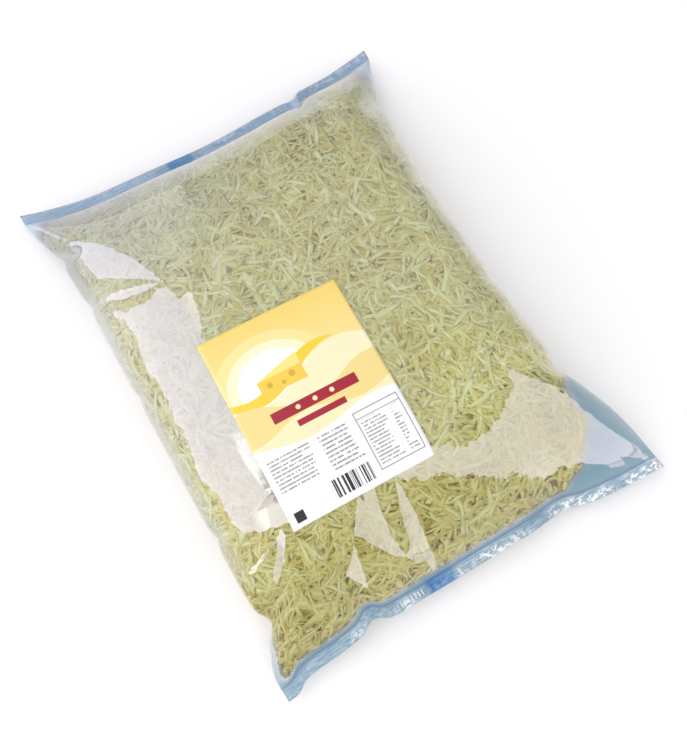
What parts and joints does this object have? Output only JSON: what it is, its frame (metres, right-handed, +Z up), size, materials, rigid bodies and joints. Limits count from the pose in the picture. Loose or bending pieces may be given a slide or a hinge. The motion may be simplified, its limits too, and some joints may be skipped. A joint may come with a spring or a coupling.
{
  "type": "bag of grated cheese",
  "caption": "Clear film pillow bag filled with grated pale yellow cheese, heat-sealed across each end, lying flat with a rectangular paper label on its upper face.",
  "frame": {"origin": "centre of the bounding box in plan, on the surface that the bag lies on", "axes": "+X across the bag to its right side, +Y along it from the label's foot towards its head, +Z up, out of the labelled face"},
  "size_m": [0.3005, 0.398, 0.0728],
  "materials": {
    "film": "clear glossy film",
    "cheese": "matte, slightly moist grated cheese",
    "label": "printed coated paper"
  },
  "bodies": {
    "root": {"bag": "film", "label": "label"}
  },
  "joints": []
}
